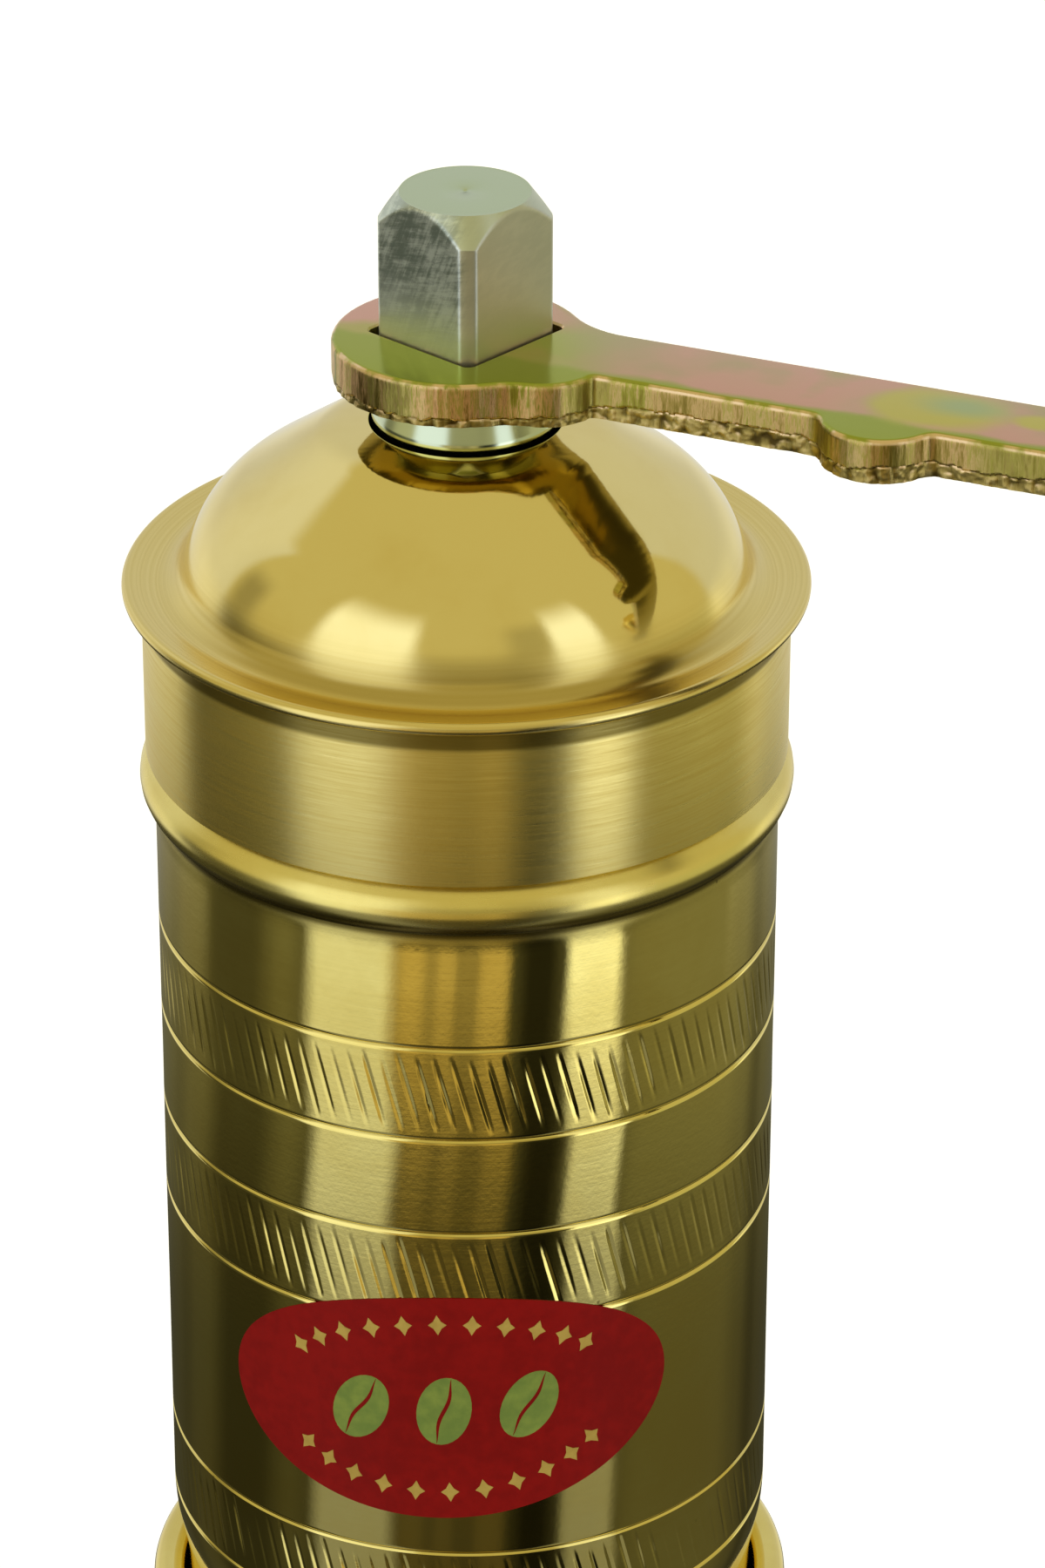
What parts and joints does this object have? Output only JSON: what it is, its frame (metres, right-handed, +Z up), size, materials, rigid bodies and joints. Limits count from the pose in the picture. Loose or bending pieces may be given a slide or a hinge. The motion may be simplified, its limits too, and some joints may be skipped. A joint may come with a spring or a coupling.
{
  "type": "coffee grinder mill",
  "caption": "Cylindrical brass hand coffee mill: domed lift-off lid, knurled tube with conical burrs and grind adjuster, catch cup, and a crank on a square shaft.",
  "frame": {"origin": "centre of the cup foot, on the surface the mill stands on", "axes": "+Z up along the shaft; +X along the crank arm at rest"},
  "size_m": [0.1457, 0.0528, 0.2141],
  "materials": {
    "brass_body": "polished, slightly aged brass sheet with turned lines and slanted knurl strokes",
    "brass_lid": "polished pale brass with fine turning lines",
    "bearing_brass": "cast and machined brass",
    "knob_brass": "turned and polished brass",
    "shaft_steel": "zinc plated steel, drawn and filed faces with diagonal scratches",
    "zinc_steel": "zinc plated pressed steel",
    "chromate_steel": "yellow chromate on zinc, iridescent, with blanked edges",
    "spring_steel": "oiled spring steel",
    "burr_iron": "hardened cast iron with ground teeth",
    "label_film": "glossy printed sticker, plain red"
  },
  "bodies": {
    "cup": {"cup_shell": "brass_body", "cup_base": "brass_body"},
    "mill_body": {"body_tube": "brass_body", "upper_bridge": "zinc_steel", "guide_bush": "bearing_brass", "ring_burr": "burr_iron", "lower_bridge": "zinc_steel", "bridge_screws": "zinc_steel", "burr_spring": "spring_steel"},
    "thrust": {"thrust_ball": "spring_steel"},
    "adjuster": {"adjust_stem": "zinc_steel", "adjust_star": "bearing_brass"},
    "rotor": {"drive_shaft": "shaft_steel", "cone_burr": "burr_iron", "burr_pin": "spring_steel", "spring_washer": "zinc_steel"},
    "lid": {"lid_dome": "brass_lid", "lid_skirt": "brass_lid"},
    "crank": {"crank_arm": "chromate_steel", "knob_pin": "zinc_steel", "knob_washer": "zinc_steel"},
    "knob": {"crank_knob": "knob_brass"}
  },
  "joints": [
    {"name": "body_lift", "type": "slide", "parent": "cup", "child": "mill_body", "axis": [0, 0, 1], "range_m": [0, 0.06]},
    {"name": "lid_lift", "type": "slide", "parent": "mill_body", "child": "lid", "axis": [0, 0, 1], "range_m": [0, 0.05]},
    {"name": "adjust_rise", "type": "slide", "parent": "mill_body", "child": "thrust", "axis": [0, 0, 1], "range_m": [-0.0015, 0.001], "deforming": ["burr_spring"]},
    {"name": "star_turn", "type": "hinge", "parent": "thrust", "child": "adjuster", "pos_m": [0, 0, 0.0515], "axis": [0, 0, 1], "range_deg": [-545, 365]},
    {"name": "crank_turn", "type": "hinge", "parent": "thrust", "child": "rotor", "pos_m": [0, 0, 0.06455], "axis": [0, 0, 1], "continuous": true},
    {"name": "arm_lift", "type": "slide", "parent": "rotor", "child": "crank", "axis": [0, 0, 1], "range_m": [0, 0.066]},
    {"name": "knob_spin", "type": "hinge", "parent": "crank", "child": "knob", "pos_m": [0.11, -0.0004, 0.189], "axis": [0, 0, 1], "continuous": true}
  ],
  "couplings": [
    {"joint": "star_turn", "follows": "adjust_rise", "rad_per_m": 6283.2},
    {"joint": "arm_lift", "follows": "lid_lift", "ratio": 1.3}
  ]
}
